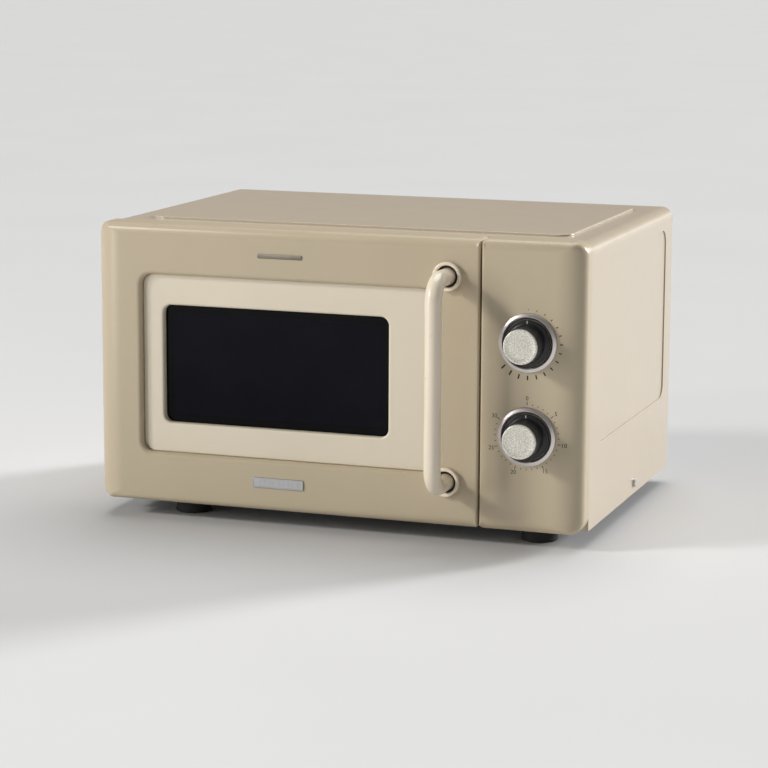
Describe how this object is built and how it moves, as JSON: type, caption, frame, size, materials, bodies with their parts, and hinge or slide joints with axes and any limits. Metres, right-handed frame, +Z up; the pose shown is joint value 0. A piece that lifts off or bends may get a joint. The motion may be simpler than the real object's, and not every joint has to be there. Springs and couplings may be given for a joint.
{
  "type": "microwave oven",
  "caption": "Countertop microwave oven with a side-hinged window door, bar handle, two rotary dials, turntable and working latch, in cream enamel.",
  "frame": {"origin": "on the floor, under the middle of the box that encloses the whole oven, handle and rear bumps included", "axes": "+Z up, the door and dials face -Y, +X to the right of someone facing the door"},
  "size_m": [0.4444, 0.365, 0.261],
  "materials": {
    "cream_enamel": "satin cream enamel on steel sheet",
    "cream_moulding": "semi-gloss cream moulding",
    "ivory_moulding": "semi-gloss ivory moulding",
    "ivory_lacquer": "gloss ivory lacquer",
    "zinc_sheet": "zinc-plated sheet",
    "cavity_enamel": "grey oven enamel",
    "black_enamel": "black enamel",
    "black_moulding": "black moulding",
    "foot_rubber": "matt black",
    "bright_steel": "bright plated",
    "polished_chrome": "polished",
    "satin_metal": "fine satin grain",
    "smoked_glass": "smoked, black printed border",
    "clear_film": "clear film",
    "tray_glass": "clear pressed glass",
    "lamp_glass": "clear bulb",
    "white_moulding": "natural white moulding",
    "motor_can": "drawn can",
    "fin_aluminium": "fins",
    "lamination_steel": "varnished laminations",
    "copper_wire": "enamelled copper wire",
    "ceramic_white": "glazed",
    "board_green": "printed board",
    "mica_sheet": "mica"
  },
  "bodies": {
    "cabinet": {"outer_cover": "cream_enamel", "front_plate": "cream_enamel", "control_panel": "cream_moulding", "base_plate": "zinc_sheet", "rear_panel": "zinc_sheet", "waveguide": "zinc_sheet", "hinge_brackets": "zinc_sheet", "cavity_liner": "cavity_enamel", "cavity_floor": "cavity_enamel", "fan_shroud": "black_moulding", "cord_gland": "black_moulding", "door_switches": "black_moulding", "feet": "foot_rubber", "cabinet_screws": "bright_steel", "dial_rings": "polished_chrome", "oven_lamp": "lamp_glass", "interlock_bracket": "white_moulding", "timer_body": "white_moulding", "power_selector": "white_moulding", "turntable_motor": "motor_can", "capacitor": "motor_can", "thermal_cutouts": "motor_can", "magnetron_yoke": "zinc_sheet", "magnetron_anode": "fin_aluminium", "transformer_core": "lamination_steel", "transformer_windings": "copper_wire", "fan_motor": "lamination_steel", "high_voltage_diode": "black_moulding", "lamp_holder": "ceramic_white", "filter_board": "board_green", "waveguide_cover": "mica_sheet"},
    "door": {"door_frame": "cream_moulding", "window_bezel": "ivory_moulding", "window_glass": "smoked_glass", "choke_pan": "black_enamel", "choke_cover": "black_moulding", "door_inner_film": "clear_film", "door_hinge_plates": "zinc_sheet", "handle_bar": "ivory_lacquer", "handle_collars": "ivory_lacquer", "handle_screws": "bright_steel", "badge_plate": "satin_metal", "latch_spring": "bright_steel"},
    "latch": {"latch_hooks": "white_moulding"},
    "timer_dial": {"timer_knob": "black_moulding", "timer_knob_cap": "satin_metal", "timer_shaft": "bright_steel"},
    "power_dial": {"power_knob": "black_moulding", "power_knob_cap": "satin_metal", "power_shaft": "bright_steel"},
    "fan": {"fan_blade": "white_moulding"},
    "coupler": {"turntable_coupler": "white_moulding"},
    "tray": {"glass_tray": "tray_glass"},
    "ring": {"roller_ring": "white_moulding"},
    "roller_1": {"roller_1": "white_moulding"},
    "roller_2": {"roller_2": "white_moulding"},
    "roller_3": {"roller_3": "white_moulding"},
    "upper_plunger": {"upper_plunger": "white_moulding"},
    "lower_plunger": {"lower_plunger": "white_moulding"},
    "monitor_plunger": {"monitor_plunger": "white_moulding"}
  },
  "joints": [
    {"name": "door_swing", "type": "hinge", "parent": "cabinet", "child": "door", "pos_m": [-0.213, -0.1205, 0.138], "axis": [0, 0, -1], "range_deg": [0, 100]},
    {"name": "latch_lift", "type": "slide", "parent": "door", "child": "latch", "axis": [0, 0, 1], "range_m": [0, 0.004], "stiffness_N_per_m": 150, "springref_m": -0.01, "deforming": ["latch_spring"]},
    {"name": "timer_turn", "type": "hinge", "parent": "cabinet", "child": "timer_dial", "pos_m": [0.1726, -0.1375, 0.0973], "axis": [0, 1, 0], "range_deg": [0, 300]},
    {"name": "power_turn", "type": "hinge", "parent": "cabinet", "child": "power_dial", "pos_m": [0.1726, -0.1375, 0.1764], "axis": [0, 1, 0], "range_deg": [0, 225]},
    {"name": "fan_spin", "type": "hinge", "parent": "cabinet", "child": "fan", "pos_m": [0.15985, 0.156, 0.165], "axis": [0, 1, 0], "continuous": true},
    {"name": "turntable_spin", "type": "hinge", "parent": "cabinet", "child": "coupler", "pos_m": [-0.047, 0.0233, 0.045], "axis": [0, 0, 1], "continuous": true},
    {"name": "tray_lift", "type": "slide", "parent": "coupler", "child": "tray", "axis": [0, 0, 1], "range_m": [0, 0.04]},
    {"name": "ring_spin", "type": "hinge", "parent": "cabinet", "child": "ring", "pos_m": [-0.047, 0.0233, 0.0433], "axis": [0, 0, 1], "continuous": true},
    {"name": "roller_1_spin", "type": "hinge", "parent": "ring", "child": "roller_1", "pos_m": [-0.047, 0.1173, 0.0433], "axis": [0, 1, 0], "continuous": true},
    {"name": "roller_2_spin", "type": "hinge", "parent": "ring", "child": "roller_2", "pos_m": [-0.12841, -0.0237, 0.0433], "axis": [-0.866, -0.5, 0], "continuous": true},
    {"name": "roller_3_spin", "type": "hinge", "parent": "ring", "child": "roller_3", "pos_m": [0.03441, -0.0237, 0.0433], "axis": [0.866, -0.5, 0], "continuous": true},
    {"name": "upper_switch_press", "type": "slide", "parent": "cabinet", "child": "upper_plunger", "axis": [0, 1, 0], "range_m": [0, 0.0012], "stiffness_N_per_m": 100, "springref_m": -0.001},
    {"name": "lower_switch_press", "type": "slide", "parent": "cabinet", "child": "lower_plunger", "axis": [0, 1, 0], "range_m": [0, 0.0012], "stiffness_N_per_m": 100, "springref_m": -0.001},
    {"name": "monitor_switch_press", "type": "slide", "parent": "cabinet", "child": "monitor_plunger", "axis": [0, 1, 0], "range_m": [0, 0.0012], "stiffness_N_per_m": 100, "springref_m": -0.001}
  ],
  "couplings": [
    {"joint": "ring_spin", "follows": "turntable_spin", "ratio": 0.5},
    {"joint": "roller_1_spin", "follows": "turntable_spin", "ratio": -6.7143},
    {"joint": "roller_2_spin", "follows": "turntable_spin", "ratio": -6.7143},
    {"joint": "roller_3_spin", "follows": "turntable_spin", "ratio": -6.7143}
  ]
}
